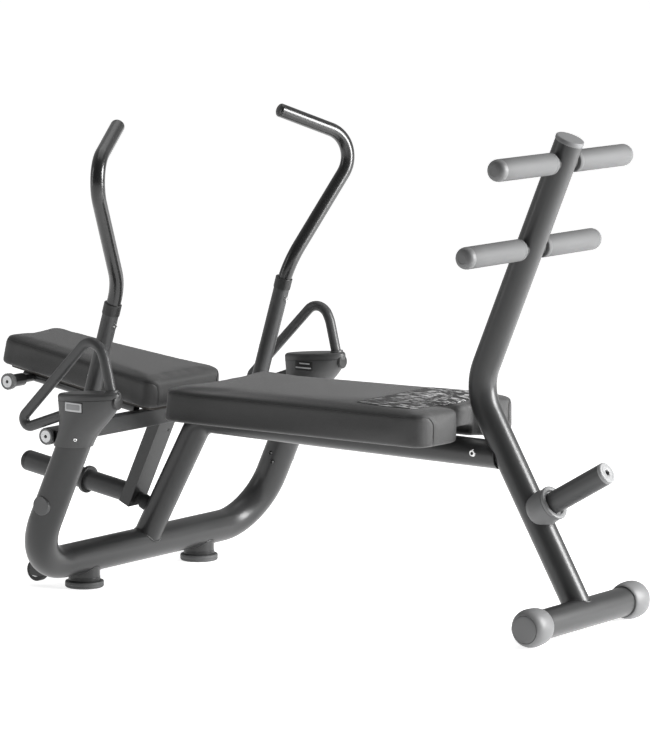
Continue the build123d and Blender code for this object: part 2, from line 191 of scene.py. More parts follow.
def makeMoulded(name, dark, light, rough, grain, depth, coat=0.0):
    material, place = startMaterial(name)
    cloud = place.noise(11.0, 4.0)
    pits = place.noise(grain, 3.0, 0.6)
    wear = place.noise(70.0, 7.0, 0.7).step(0.6, 0.75)
    colour = blendColour(cloud * 0.6 + pits * 0.25 + wear * 0.2, grey(dark, -0.01), grey(light, -0.01))
    return closeMaterial(material, place, {
        "Base Color": colour,
        "Roughness": rough + pits * 0.1 + wear * 0.08,
        "Coat Weight": coat,
        "Coat Roughness": 0.2,
        "Normal": bumpFrom(pits, 0.4, depth),
    })


bracketPlastic = makeMoulded("bracketPlastic", 0.042, 0.055, 0.36, 1100.0, 0.00012)
blackPlastic = makeMoulded("blackPlastic", 0.009, 0.014, 0.33, 1000.0, 0.0001)
capPlastic = makeMoulded("capPlastic", 0.13, 0.165, 0.42, 850.0, 0.00014)
footRubber = makeMoulded("footRubber", 0.07, 0.09, 0.55, 700.0, 0.0002)
tyreRubber = makeMoulded("tyreRubber", 0.012, 0.02, 0.62, 600.0, 0.0002)
rollerFoam = makeMoulded("rollerFoam", 0.088, 0.105, 0.62, 1400.0, 0.00018)
rollerCap = makeMoulded("rollerCap", 0.1, 0.13, 0.42, 900.0, 0.00012)
paleRing = makeMoulded("paleRing", 0.19, 0.24, 0.4, 900.0, 0.0001)
whiteFace = makeMoulded("whiteFace", 0.72, 0.82, 0.35, 900.0, 0.0001)
gripSkin = makeMoulded("gripSkin", 0.0085, 0.013, 0.2, 500.0, 0.00006, 0.35)
hubPlastic = makeMoulded("hubPlastic", 0.55, 0.66, 0.45, 900.0, 0.0001)


def makeSteel(name, dark, light, rough):
    material, place = startMaterial(name)
    lines = place.stretch((900.0, 900.0, 60.0)).noise(1.0, 3.0)
    smudge = place.noise(40.0, 4.0)
    colour = blendColour(lines * 0.5 + smudge * 0.5, grey(dark), grey(light))
    return closeMaterial(material, place, {
        "Base Color": colour,
        "Metallic": 1.0,
        "Roughness": rough + lines * 0.08 + smudge * 0.1,
        "Normal": bumpFrom(lines, 0.12, 0.00005),
    })


brightSteel = makeSteel("brightSteel", 0.62, 0.78, 0.16)
# near-black: painted shade at the bottom of the screw and storage-tip hex sockets, and the colour of the
# round cap cores, the lid parting lines and the link plug
shadeAndTrimBlack = makeMoulded("shadeAndTrimBlack", 0.006, 0.01, 0.4, 900.0, 0.00005)


def makePly(name):
    material, place = startMaterial(name)
    rings = place.stretch((2.0, 26.0, 120.0)).noise(4.0, 5.0, 0.6)
    pores = place.stretch((40.0, 600.0, 600.0)).noise(1.0, 2.0)
    colour = blendColour(rings * 0.7 + pores * 0.3, (0.018, 0.015, 0.013, 1), (0.045, 0.038, 0.032, 1))
    return closeMaterial(material, place, {
        "Base Color": colour,
        "Roughness": 0.55 + pores * 0.15,
        "Normal": bumpFrom(rings * 0.5 + pores * 0.5, 0.3, 0.0002),
    })


boardPly = makePly("boardPly")
plugGrey = makeMoulded("plugGrey", 0.07, 0.09, 0.38, 900.0, 0.0001)
finishOfSlot = {
    "frame_paint": framePaint,
    "arm_paint": armPaint,
    "upholstery": padLeather,
    "grip_rubber": gripSkin,
    "roller_foam": rollerFoam,
    "cap_grey": capPlastic,
    "foot_rubber": footRubber,
    "bracket_plastic": bracketPlastic,
    "black_plastic": blackPlastic,
    "horn_sleeve": sleevePaint,
    "bright_steel": brightSteel,
    "board_ply": boardPly,
    "tyre_rubber": tyreRubber,
}
finishOfNode = {  # nodes that look unlike the rest of their slot
    "upright_plug_near": plugGrey,
    "upright_plug_far": plugGrey,
    "roller_rod_upper": framePaint,
    "roller_rod_lower": framePaint,
}
for part in frame["record"]["subparts"]:
    mesh = nodes[part["node"]].data
    mesh.materials.clear()
    mesh.materials.append(finishOfNode.get(part["node"], finishOfSlot[part["material_slot"]]))
print("finishes on the frame")


def levelPoint(nodeName, y):  # the middle of a node's box in x and z, at a given y
    low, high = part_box(nodeName)
    return Vector(((low.x + high.x) / 2, y, (low.z + high.z) / 2))


def outerEnd(nodeName, sign, inset=0.0):  # a little inside the end face of a node on one side
    low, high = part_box(nodeName)
    return levelPoint(nodeName, (low.y if sign < 0 else high.y) - sign * inset)


def addPiece(name, verts, faces, material, body, slotName):
    mesh = bpy.data.meshes.new(name)
    mesh.from_pydata([tuple(v) for v in verts], [], faces)
    mesh.update()
    piece = bpy.data.objects.new(name, mesh)
    bpy.context.scene.collection.objects.link(piece)
    mesh.materials.append(material)
    mesh.shade_smooth()
    fixNormals(piece)
    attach(piece, body)
    return piece


def fixNormals(piece):
    work = bmesh.new()
    work.from_mesh(piece.data)
    bmesh.ops.recalc_face_normals(work, faces=work.faces)
    work.to_mesh(piece.data)
    work.free()


def axisBasis(axis):
    along = Vector(axis).normalized()
    side = along.cross(Vector((0, 0, 1)) if abs(along.z) < 0.9 else Vector((1, 0, 0))).normalized()
    return along, side, along.cross(side)


def aroundAxis(centre, side, other, radius, count):
    return [centre + (side * math.cos(angle) + other * math.sin(angle)) * radius
            for angle in (2 * math.pi * k / count for k in range(count))]


def gridOf(rows):
    width = len(rows[0])
    faces = [(i * width + j, i * width + j + 1, (i + 1) * width + j + 1, (i + 1) * width + j)
             for i in range(len(rows) - 1) for j in range(width - 1)]
    return [v for row in rows for v in row], faces


def stackRings(rings, closeStart=True, closeEnd=True):
    count = len(rings[0])
    verts = [v for ring in rings for v in ring]
    faces = []
    for level in range(len(rings) - 1):
        for i in range(count):
            j = (i + 1) % count
            a, b = level * count, (level + 1) * count
            faces.append((a + i, a + j, b + j, b + i))
    if closeStart:
        faces.append(tuple(range(count - 1, -1, -1)))
    if closeEnd:
        last = (len(rings) - 1) * count
        faces.append(tuple(range(last, last + count)))
    return verts, faces


def turnedPiece(name, centre, axis, profile, material, body, slotName, sides=48, hexFrom=None):
    along, side, other = axisBasis(axis)
    sixth = math.pi / 3
    rings = []
    for index, (radius, height) in enumerate(profile):
        middle = Vector(centre) + along * height
        ring = []
        for k in range(sides):
            angle = 2 * math.pi * k / sides
            reach = radius
            if hexFrom is not None and index >= hexFrom:  # six-sided from this ring on
                reach = radius * math.cos(sixth / 2) / math.cos(angle % sixth - sixth / 2)
            ring.append(middle + (side * math.cos(angle) + other * math.sin(angle)) * reach)
        rings.append(ring)
    verts, faces = stackRings(rings)
    piece = addPiece(name, verts, faces, material, body, slotName)
    piece.data.set_sharp_from_angle(angle=math.radians(32))
    return piece


def sweptPiece(name, points, radius, material, body, slotName, closed=False, sides=10):
    points = [Vector(p) for p in points]
    count = len(points)
    rings = []
    previous = None
    for i, point in enumerate(points):
        ahead = points[(i + 1) % count] if closed or i < count - 1 else point
        behind = points[i - 1] if closed or i > 0 else point
        along = (ahead - behind).normalized()
        if previous is None:
            side = axisBasis(along)[1]
        else:
            side = (previous - along * previous.dot(along)).normalized()
        previous = side
        other = along.cross(side)
        rings.append(aroundAxis(point, side, other, radius, sides))
    verts, faces = stackRings(rings, not closed, not closed)
    if closed:
        last = (count - 1) * sides
        shift = min(range(sides), key=lambda s: (rings[-1][0] - rings[0][s]).length)
        for k in range(sides):
            n = (k + 1) % sides
            faces.append((last + k, last + n, (n + shift) % sides, (k + shift) % sides))
    return addPiece(name, verts, faces, material, body, slotName)


def roundedOutline(corners, radii, stepsPerCorner):
    points = []
    count = len(corners)
    for i, corner in enumerate(corners):
        here = Vector(corner)
        back = (Vector(corners[i - 1]) - here).normalized()
        ahead = (Vector(corners[(i + 1) % count]) - here).normalized()
        half = back.angle(ahead) / 2
        radius = radii[i]
        if radius <= 0:
            points.append(here)
            continue
        first = here + back * (radius / math.tan(half))
        last = here + ahead * (radius / math.tan(half))
        centre = here + (back + ahead).normalized() * (radius / math.sin(half))
        for s in range(stepsPerCorner + 1):
            t = s / stepsPerCorner
            direction = ((first - centre) * (1 - t) + (last - centre) * t).normalized()
            points.append(centre + direction * radius)
    return points


def cleanCopy(nodeName, newName):
    mesh = nodes[nodeName].data.copy()
    mesh.name = newName
    work = bmesh.new()
    work.from_mesh(mesh)
    bmesh.ops.remove_doubles(work, verts=work.verts, dist=0.00005)
    work.to_mesh(mesh)
    work.free()
    copy = bpy.data.objects.new(newName, mesh)
    bpy.context.scene.collection.objects.link(copy)
    return copy


def evaluatedMesh(piece):
    bpy.context.view_layer.update()
    graph = bpy.context.evaluated_depsgraph_get()
    return bpy.data.meshes.new_from_object(piece.evaluated_get(graph))


def bakeModifiers(piece):
    mesh = evaluatedMesh(piece)
    piece.modifiers.clear()
    piece.data = mesh


def readPoints(mesh):
    flat = np.zeros(len(mesh.vertices) * 3)
    mesh.vertices.foreach_get("co", flat)
    return flat.reshape(-1, 3)


def readNormals(mesh):
    flat = np.zeros(len(mesh.vertices) * 3)
    mesh.vertex_normals.foreach_get("vector", flat)
    return flat.reshape(-1, 3)


def writePoints(mesh, points):
    mesh.vertices.foreach_set("co", points.reshape(-1))
    mesh.update()


def smoothField(mesh, field, rounds):
    edges = np.zeros(len(mesh.edges) * 2, dtype=np.int64)
    mesh.edges.foreach_get("vertices", edges)
    edges = edges.reshape(-1, 2)
    count = np.zeros(len(field))
    np.add.at(count, edges[:, 0], 1)
    np.add.at(count, edges[:, 1], 1)
    for _ in range(rounds):
        total = np.zeros_like(field)
        np.add.at(total, edges[:, 0], field[edges[:, 1]])
        np.add.at(total, edges[:, 1], field[edges[:, 0]])
        field = 0.5 * field + 0.5 * total / count[:, None]
    return field


clothSetup = {"quality": 5, "mass": 0.3, "bending": 0.5, "frames": 20, "smoothing": 4}


def inflate(piece, start, held, sizes):
    group = piece.vertex_groups.new(name="held")
    for index in np.nonzero(held > 0.01)[0]:
        group.add([int(index)], float(held[index]), "REPLACE")
    cloth = piece.modifiers.new("cloth", "CLOTH")
    cloth.settings.quality = clothSetup["quality"]
    cloth.settings.mass = clothSetup["mass"]
    cloth.settings.tension_stiffness = sizes["tension"]
    cloth.settings.compression_stiffness = sizes["tension"]
    cloth.settings.bending_stiffness = clothSetup["bending"]
    cloth.settings.use_pressure = True
    cloth.settings.uniform_pressure_force = sizes["pressure"]
    cloth.settings.effector_weights.gravity = 0
    cloth.settings.vertex_group_mass = "held"
    cloth.point_cache.frame_start = 1
    cloth.point_cache.frame_end = clothSetup["frames"]
    for step in range(1, clothSetup["frames"] + 1):
        bpy.context.scene.frame_set(step)
    moved = readPoints(evaluatedMesh(piece)) - start
    piece.modifiers.clear()
    bpy.context.scene.frame_set(1)
    return moved


def makeCushion(nodeName, newName, sizes, toLocal, heldIn):  # heldIn: 1 where fixed
    piece = cleanCopy(nodeName, newName)
    remesh = piece.modifiers.new("remesh", "REMESH")
    remesh.mode = "VOXEL"
    remesh.voxel_size = sizes["voxel"]
    bakeModifiers(piece)
    mesh = piece.data
    start = readPoints(mesh)
    held = heldIn(toLocal(start))
    loose = (1 - held)[:, None]
    start = start - readNormals(mesh) * sizes["inset"] * loose
    writePoints(mesh, start)
    moved = inflate(piece, start, held, sizes)
    reach = np.linalg.norm(moved, axis=1)
    print(newName, len(start), "points, moved mm",
          np.round(np.percentile(reach, [50, 90, 100]) * 1000, 1))
    scale = sizes["cap"] * np.tanh(reach / sizes["cap"]) / np.maximum(reach, 1e-9)
    moved = smoothField(mesh, moved * scale[:, None] * loose, clothSetup["smoothing"])
    writePoints(mesh, start + moved)
    finer = piece.modifiers.new("finer", "SUBSURF")
    finer.levels = 1
    bakeModifiers(piece)
    piece.data.materials.clear()
    piece.data.materials.append(padLeather)
    piece.data.shade_smooth()
    return piece


def surfaceOf(piece):
    mesh = piece.data
    return BVHTree.FromPolygons([v.co for v in mesh.vertices], [p.vertices for p in mesh.polygons])


def resample(points, spacing):
    points = [Vector(p) for p in points]
    out = [points[0]]
    left = spacing
    for a, b in zip(points, points[1:]):
        run = (b - a).length
        done = 0.0
        while run - done >= left:
            done += left
            out.append(a.lerp(b, done / run))
            left = spacing
        left -= run - done
    return out


def onSurface(tree, point, lift=0.0):
    place, normal, _, _ = tree.find_nearest(point)
    return place + normal * lift, normal


def pressSeam(piece, path, depth, width):  # draws the cover in along a sewn line
    points = readPoints(piece.data)
    normals = readNormals(piece.data)
    near = np.full(len(points), 1.0)
    for spot in np.array(path):
        near = np.minimum(near, np.linalg.norm(points - spot, axis=1))
    writePoints(piece.data, points - normals * (depth * np.exp(-((near / width) ** 2)))[:, None])


def addStitches(name, path, tree, sideStep, size, body):
    verts, faces = [], []
    for index in range(1, len(path) - 1):
        along = (path[index + 1] - path[index - 1]).normalized()
        centre, normal = onSurface(tree, path[index] + sideStep(path[index]), size["lift"])
        side = along.cross(normal).normalized()
        rings = []
        for t, swell in ((-1.0, 0.3), (-0.7, 0.9), (0.0, 1.0), (0.7, 0.9), (1.0, 0.3)):
            middle = centre + along * (t * size["half"]) - normal * (t ** 2 * size["lift"] * 1.4)
            rings.append(aroundAxis(middle, side, normal, size["thick"] * swell, 6))
        ringVerts, ringFaces = stackRings(rings)
        faces += [tuple(i + len(verts) for i in face) for face in ringFaces]
        verts += ringVerts
    return addPiece(name, verts, faces, seamLeather, body, "upholstery")


seatLow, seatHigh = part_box("seat_pad")
seat = {"voxel": 0.006, "inset": 0.0008, "tension": 12.0, "pressure": 4.5, "cap": 0.008,
        "seamDrop": 0.0045, "turnIn": 0.047, "corner": 0.04, "seamDepth": 0.0016, "seamWidth": 0.0034,
        "half": 0.193, "foldUp": 0.012, "channelHalf": 0.046, "channelTop": 0.036,
        "notchHalf": 0.06, "notchLength": 0.045, "notchHold": 0.7, "endHalf": 0.156, "endSlack": 0.004}


def seatHeld(points):
    bottom = np.clip((seatLow.z + seat["foldUp"] - points[:, 2]) / seat["foldUp"], 0, 1)
    aside = np.abs(points[:, 1])
    channel = (aside < seat["channelHalf"]) & (points[:, 2] < seatLow.z + seat["channelTop"])
    notch = (aside < seat["notchHalf"]) & (points[:, 0] > seatHigh.x - seat["notchLength"])
    return np.maximum(np.maximum(bottom, channel * 1.0), notch * seat["notchHold"])


seatPad = makeCushion("seat_pad", "seatPad", seat, np.array, seatHeld)
print("seat cushion made")

sewing = {"spacing": 0.003, "bend": 0.014, "endSteps": 18, "rounds": 6, "even": 0.004,
          "aboveBoard": 0.006, "cordLift": 0.0002, "cordRadius": 0.0011, "stitchGap": 0.0052,
          "stitchAside": 0.0042, "stitchIn": 0.001}
stitch = {"half": 0.0019, "thick": 0.00045, "lift": 0.0003}


def rimPath(sizes, low, high, halfAtLow, halfAtHigh, top, bottom, sign):  # up, along and down
    flat = roundedOutline(
        [(low, 0, 0), (low, sign * halfAtLow, 0), (high, sign * halfAtHigh, 0), (high, 0, 0)],
        [0, sizes["corner"], sizes["corner"], 0], 10)
    taper = (halfAtHigh - halfAtLow) / (high - low)
    level = [Vector((p.x, p.y, top)) for p in resample(flat, sewing["spacing"])
             if abs(p.y) > halfAtLow + (p.x - low) * taper - sizes["turnIn"]]
    rise = np.linspace(bottom, top - sewing["bend"], sewing["endSteps"])
    first = [Vector((level[0].x, level[0].y, z)) for z in rise]
    last = [Vector((level[-1].x, level[-1].y, z)) for z in rise[::-1]]
    skip = max(2, int(sewing["bend"] / sewing["spacing"]))
    joined = first + level[skip:-skip] + last
    for _ in range(sewing["rounds"]):
        joined = [joined[0]] + [(joined[i - 1] + joined[i] * 2 + joined[i + 1]) / 4
                                for i in range(1, len(joined) - 1)] + [joined[-1]]
    return resample(joined, sewing["even"])


def sewSides(piece, paths, prefix, body, sizes, sideStep):
    tree = surfaceOf(piece)
    laid = [[onSurface(tree, p)[0] for p in path] for path in paths]
    for path in laid:
        pressSeam(piece, path, sizes["seamDepth"], sizes["seamWidth"])
    tree = surfaceOf(piece)
    for side, path in zip(sideSigns, laid):
        cord = [onSurface(tree, p, sewing["cordLift"])[0] for p in path]
        sweptPiece(prefix + "Seam_" + side, cord, sewing["cordRadius"], seamLeather, body, "upholstery",
                   sides=8)
        addStitches(prefix + "Stitch_" + side, resample(cord, sewing["stitchGap"]), tree, sideStep,
                    stitch, body)


seatPaths = [rimPath(seat, seatLow.x, seatHigh.x - seat["endSlack"], seat["half"], seat["half"],
                     seatHigh.z - seat["seamDrop"], seatLow.z + sewing["aboveBoard"], sign)
             for sign in sideSigns.values()]
seatMiddleX = (seatLow.x + seatHigh.x) / 2


def seatStep(point):
    if abs(point.y) < seat["endHalf"]:  # on an end face
        return Vector((0, math.copysign(-sewing["stitchAside"], point.y), 0))
    inward = Vector((seatMiddleX - point.x, -point.y, 0)).normalized()
    return inward * sewing["stitchIn"] + Vector((0, 0, sewing["stitchAside"]))


sewSides(seatPad, seatPaths, "seat", "frame", seat, seatStep)
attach(seatPad, "frame")
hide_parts("seat_pad")
print("seat cushion sewn")

patch = {"start": 0.252, "end": 0.421, "half": 0.146, "bow": 0.012, "lift": 0.0007, "across": 96,
         "along": 56, "sink": 0.0008, "rimLift": 0.0011, "rimRadius": 0.0009, "dark": 0.011, "pale": 0.66}


def makePatchPrint():
    material, place = startMaterial("patchPrint")
    bend = place.noise(9.0, 2.0)
    drift = place.make("ShaderNodeVectorMath", {"operation": "SCALE"}, {0: bend, "Scale": 0.05})
    warped = place.make("ShaderNodeVectorMath", {"operation": "ADD"}, {0: place, 1: drift})
    strokes = warped.stretch((30.0, 120.0, 20.0)).noise(1.0, 4.0, 0.55)
    breaks = place.noise(48.0, 3.0, 0.6)
    lengthwise = place.make("ShaderNodeSeparateXYZ", None, {0: place})
    sweepIn = lengthwise.step(patch["start"] - 0.05, patch["end"] - 0.03)
    mask = strokes.step(0.52, 0.56) * breaks.step(0.4, 0.47) * (sweepIn * 0.75 + 0.25)
    dots = place.cells(520.0)
    return closeMaterial(material, place, {
        "Base Color": blendColour(mask, grey(patch["dark"]), grey(patch["pale"])),
        "Roughness": 0.42 + dots * 0.2 + mask * 0.1,
        "Normal": bumpFrom((1 - dots) + mask * 0.4, 0.45, 0.0003),
    })


patchPrint = makePatchPrint()


def patchHalf(t):
    base = patch["half"] + patch["bow"] * math.sin(math.pi * min(t / 0.9, 1.0) * 0.72)
    endRound = max(0.0, (t - 0.86) / 0.14)
    startRound = max(0.0, (0.04 - t) / 0.04)
    return base * (1 - 0.12 * (1 - math.sqrt(max(0.0, 1 - endRound ** 2)))) - 0.008 * startRound


def drapePatch():
    tree = surfaceOf(seatPad)
    rows = []
    for i in range(patch["along"] + 1):
        t = i / patch["along"]
        x = patch["start"] + (patch["end"] - patch["start"]) * t
        row = []
        for j in range(patch["across"] + 1):
            y = patchHalf(t) * (2 * j / patch["across"] - 1)
            hit = tree.ray_cast(Vector((x, y, 0.6)), Vector((0, 0, -1)))[0]
            edge = i in (0, patch["along"]) or j in (0, patch["across"])
            row.append(hit + Vector((0, 0, -patch["sink"] if edge else patch["lift"])))
        rows.append(row)
    addPiece("seatPatch", *gridOf(rows), patchPrint, "frame", "upholstery")
    rim = rows[0] + [row[-1] for row in rows[1:]] + rows[-1][-2::-1] + [row[0] for row in rows[-2:0:-1]]
    rim = [v + Vector((0, 0, patch["rimLift"])) for v in rim]
    sweptPiece("seatPatchEdge", rim, patch["rimRadius"], seamLeather, "frame", "upholstery",
               closed=True, sides=6)


drapePatch()
print("patch laid")

head = {"voxel": 0.0055, "inset": 0.0008, "tension": 12.0, "pressure": 4.5, "cap": 0.006,
        "seamDrop": 0.0055, "turnIn": 0.034, "corner": 0.03, "seamDepth": 0.0016, "seamWidth": 0.0034,
        "originX": -0.327, "originZ": 0.485, "tilt": math.radians(8.0), "length": 0.5,
        "halfFoot": 0.143, "halfHead": 0.101, "thick": 0.069, "foldUp": 0.012}
headAxisX = np.array([-math.cos(head["tilt"]), 0, math.sin(head["tilt"])])
headAxisZ = np.array([math.sin(head["tilt"]), 0, math.cos(head["tilt"])])
headOrigin = np.array([head["originX"], 0, head["originZ"]])


def toHeadFrame(points):
    offset = points - headOrigin
    return np.stack([offset @ headAxisX, points[:, 1], offset @ headAxisZ], axis=1)


def fromHeadFrame(point):
    place = headOrigin + headAxisX * point[0] + np.array([0, point[1], 0]) + headAxisZ * point[2]
    return Vector(place)


def headHeld(points):
    return np.clip((head["foldUp"] - head["thick"] - points[:, 2]) / head["foldUp"], 0, 1)


headPad = makeCushion("head_pad", "headPad", head, toHeadFrame, headHeld)
headPaths = []
for sign in sideSigns.values():
    path = rimPath(head, 0.0, head["length"], head["halfFoot"], head["halfHead"],
                   -head["seamDrop"], sewing["aboveBoard"] - head["thick"], sign)
    headPaths.append([fromHeadFrame(p) for p in path])


def headStep(point):
    inward = Vector((0, math.copysign(sewing["stitchIn"], point.y), 0))
    return Vector(headAxisZ) * sewing["stitchAside"] - inward


sewSides(headPad, headPaths, "head", "crunch_frame", head, headStep)
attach(headPad, "crunch_frame")
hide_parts("head_pad")
print("head cushion sewn")

roller = {"innerEnd": 0.042, "sides": 72}
rollerForm = [(0.0125, 0.0004), (0.0195, 0.0), (0.0226, 0.0009), (0.0241, 0.003), (0.0245, 0.006),
              (0.0245, 0.0112), (0.0242, 0.0121), (0.0245, 0.013), (0.0245, 0.09), (0.0245, 0.16),
              (0.0245, 0.2035), (0.0242, 0.2042)]
rollerDome = [(0.0236, 0.2036), (0.0245, 0.2042), (0.0246, 0.2052), (0.0243, 0.209), (0.0234, 0.2132),
              (0.0217, 0.217), (0.0192, 0.22), (0.0158, 0.2219), (0.0118, 0.2229), (0.0108, 0.2223),
              (0.0098, 0.223), (0.005, 0.2232), (0.0003, 0.2233)]
for level in ("upper", "lower"):
    for side, sign in sideSigns.items():
        nodeName = "roller_" + level + "_" + side
        start = levelPoint(nodeName, sign * roller["innerEnd"])
        foam = turnedPiece(nodeName + "Foam", start, (0, sign, 0), rollerForm, rollerFoam,
                           nodeName, "roller_foam", roller["sides"])
        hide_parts(nodeName)
        turnedPiece(nodeName + "Dome", start, (0, sign, 0), rollerDome, rollerCap,
                    nodeName, "roller_foam", roller["sides"])
print("rollers made")

boot = {"innerEnd": 0.168, "sides": 96}
bootForm = [(0.0331, 0.0006), (0.0352, 0.0), (0.0366, 0.0008), (0.0384, 0.004), (0.0402, 0.0105),
            (0.0416, 0.019), (0.0424, 0.029), (0.0425, 0.039), (0.0414, 0.0472), (0.0392, 0.0538),
            (0.0362, 0.0585), (0.0332, 0.0612), (0.0318, 0.0619), (0.0309, 0.0614), (0.0306, 0.0596),
            (0.0302, 0.0584)]
bootDisc = [(0.0304, 0.055), (0.0303, 0.0611), (0.0299, 0.0624), (0.0286, 0.063), (0.022, 0.0633),
            (0.012, 0.0635), (0.0004, 0.0636)]
for side, sign in sideSigns.items():
    start = levelPoint("cross_tube", sign * boot["innerEnd"])
    cover = turnedPiece("crossBoot_" + side, start, (0, sign, 0), bootForm, capPlastic,
                        "frame", "cap_grey", boot["sides"])
    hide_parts("cross_cap_" + side)
    turnedPiece("crossDisc_" + side, start, (0, sign, 0), bootDisc, rollerCap, "frame", "cap_grey",
                boot["sides"])

footPost = {"top": Vector((0.718, 0, 1.081)), "bend": Vector((0.481, 0, 0.519)),
            "foot": Vector((0.758, 0, 0.0425)), "radius": 0.03175}
postRise = (footPost["top"] - footPost["bend"]).normalized()
postFall = (footPost["foot"] - footPost["bend"]).normalized()
postCapForm = [(0.0315, -0.004), (0.0319, 0.0), (0.0328, 0.0008), (0.0328, 0.0052), (0.0322, 0.0072),
               (0.0306, 0.0086), (0.0275, 0.009), (0.015, 0.0092), (0.0004, 0.0093)]
postCap = turnedPiece("postCap", footPost["top"], postRise, postCapForm, capPlastic, "frame",
                      "cap_grey", 72)
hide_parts("foot_post_cap")

storage = {"root": Vector((0.635, 0, 0.2525)), "axis": Vector((-postFall.z, 0, postFall.x))}
collarForm = [(0.0335, 0.004), (0.0375, 0.008), (0.0402, 0.0135), (0.041, 0.019), (0.0405, 0.03),
              (0.0389, 0.0425), (0.0372, 0.0505), (0.0363, 0.0513), (0.0361, 0.0522), (0.0366, 0.0531),
              (0.0388, 0.054), (0.0396, 0.0555), (0.0396, 0.0592), (0.0388, 0.061), (0.0368, 0.062),
              (0.0322, 0.062), (0.0296, 0.061), (0.0282, 0.0588), (0.0278, 0.056), (0.0245, 0.0558)]
tipForm = [(0.0248, 0.2095), (0.025, 0.2102), (0.025, 0.2146), (0.0243, 0.2171), (0.0226, 0.2186),
           (0.0196, 0.219), (0.0168, 0.219), (0.0162, 0.2186), (0.0156, 0.219), (0.0125, 0.219),
           (0.0078, 0.2187), (0.0072, 0.218), (0.0072, 0.2125), (0.0004, 0.2124)]
socketShadeForm = [(0.0069, 0.2123), (0.0069, 0.2128), (0.0004, 0.2129)]
collar = turnedPiece("storageCollar", storage["root"], storage["axis"], collarForm, capPlastic,
                     "frame", "cap_grey", 96)
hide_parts("storage_collar")
tip = turnedPiece("storageTip", storage["root"], storage["axis"], tipForm, paleRing,
                  "frame", "cap_grey", 72, hexFrom=11)
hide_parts("storage_cap")
# a near-black hex disc at the bottom of the tip's hex recess: painted shade in the recess
turnedPiece("storageSocketShade", storage["root"], storage["axis"], socketShadeForm, shadeAndTrimBlack,
            "frame", "black_plastic", 24, hexFrom=0)
print("foot end trim made")


def screwHead(name, centre, axis, radius, body, height=0.5, material=brightSteel):
    def scaled(steps):
        return [(radius * out, radius * rise * height) for out, rise in steps]

    form = [(radius * 0.96, -0.001)] + scaled([
        (1, 0), (1, 0.2), (0.93, 0.62), (0.78, 1), (0.52, 1.06), (0.46, 1), (0.44, 0.35), (0.02, 0.3)])
    turnedPiece(name, centre, axis, form, material, body, "bright_steel", 48, hexFrom=6)
    # a near-black hex disc at the bottom of the socket: painted shade in the recess
    turnedPiece(name + "Socket", centre, axis, scaled([(0.43, 0.31), (0.43, 0.37), (0.02, 0.38)]),
                shadeAndTrimBlack, body, "black_plastic", 24, hexFrom=0)


hinge = {"x": -0.404, "z": 0.386}
arm = {"footX": -0.3865, "slope": 0.304, "y": 0.325, "gripScrewZ": 0.641, "lowScrewZ": 0.512,
       "screwOut": 0.0188}
armFront = Vector((1, 0, -arm["slope"])).normalized()
beamBolt = {"x": 0.491, "y": 0.0312, "z": 0.379, "radius": 0.0085}
upright = {"y": 0.43, "screwY": 0.3922, "screws": ((-0.3872, 0.2452), (-0.3827, 0.2235)),
           "screwRadius": 0.005}


def armPoint(z, sign):
    return Vector((arm["footX"] + (z - hinge["z"]) * arm["slope"], sign * arm["y"], z))


for side, sign in sideSigns.items():
    screwHead("gripScrew_" + side, armPoint(arm["gripScrewZ"], sign) + armFront * arm["screwOut"],
              armFront, 0.0056, "crunch_frame", 0.8)
    screwHead("armScrew_" + side, armPoint(arm["lowScrewZ"], sign) - armFront * arm["screwOut"],
              -armFront, 0.0042, "crunch_frame", 0.7)
    screwHead("beamBolt_" + side, (beamBolt["x"], sign * beamBolt["y"], beamBolt["z"]), (0, sign, 0),
              beamBolt["radius"], "frame", 0.6)
    for index, (x, z) in enumerate(upright["screws"]):
        screwHead("uprightScrew_" + side + str(index), (x, sign * upright["screwY"], z), (0, -sign, 0),
                  upright["screwRadius"], "frame", 0.7, blackPlastic)


def bracketFace(side, outside):  # the surface of one cover, and the way it faces in y
    tree = surfaceOf(nodes[("bracket_outer_" if outside else "bracket_inner_") + side])
    return tree, sideSigns[side] * (1 if outside else -1)


def hitFace(face, side, x, z):
    tree, away = face
    start = Vector((x, sideSigns[side] * upright["y"] + away * 0.2, z))
    return tree.ray_cast(start, Vector((0, -away, 0)))[:2]


bracketScrew = {"x": -0.293, "z": 0.392, "sink": 0.0006, "radius": 0.0048}
for side in sideSigns:
    for label, outside in (("Outer", True), ("Inner", False)):
        spot, normal = hitFace(bracketFace(side, outside), side, bracketScrew["x"], bracketScrew["z"])
        screwHead("bracketScrew" + label + "_" + side, spot - normal * bracketScrew["sink"], normal,
                  bracketScrew["radius"], "frame", 0.6)
print("screws placed")

roundCap = {"inset": 0.0006, "grips": 16, "gripOut": 0.0189, "gripBack": 0.0012}
capRingForm = [(0.0186, -0.005), (0.0192, -0.0045), (0.0195, -0.0035), (0.0195, 0.0005), (0.0188, 0.0022),
               (0.0172, 0.003), (0.0152, 0.003), (0.0145, 0.0022), (0.0143, 0.0008), (0.0004, 0.0007)]
capFaceForm = [(0.0141, 0.0005), (0.0141, 0.0016), (0.0136, 0.0021), (0.0095, 0.0023), (0.0088, 0.0019),
               (0.0081, 0.0023), (0.0052, 0.0024), (0.0046, 0.0018), (0.0046, 0.0009), (0.0004, 0.0008)]
capCoreForm = [(0.0044, 0.0008), (0.0044, 0.0014), (0.0002, 0.0015)]
capGripForm = [(0.0014, 0.0), (0.0014, 0.0006), (0.001, 0.0012), (0.0001, 0.0014)]
hubForm = [(0.0155, -0.0012), (0.0155, 0.0002), (0.0148, 0.0008), (0.0085, 0.0009), (0.008, 0.0005),
           (0.0058, 0.0005), (0.0055, -0.001)]


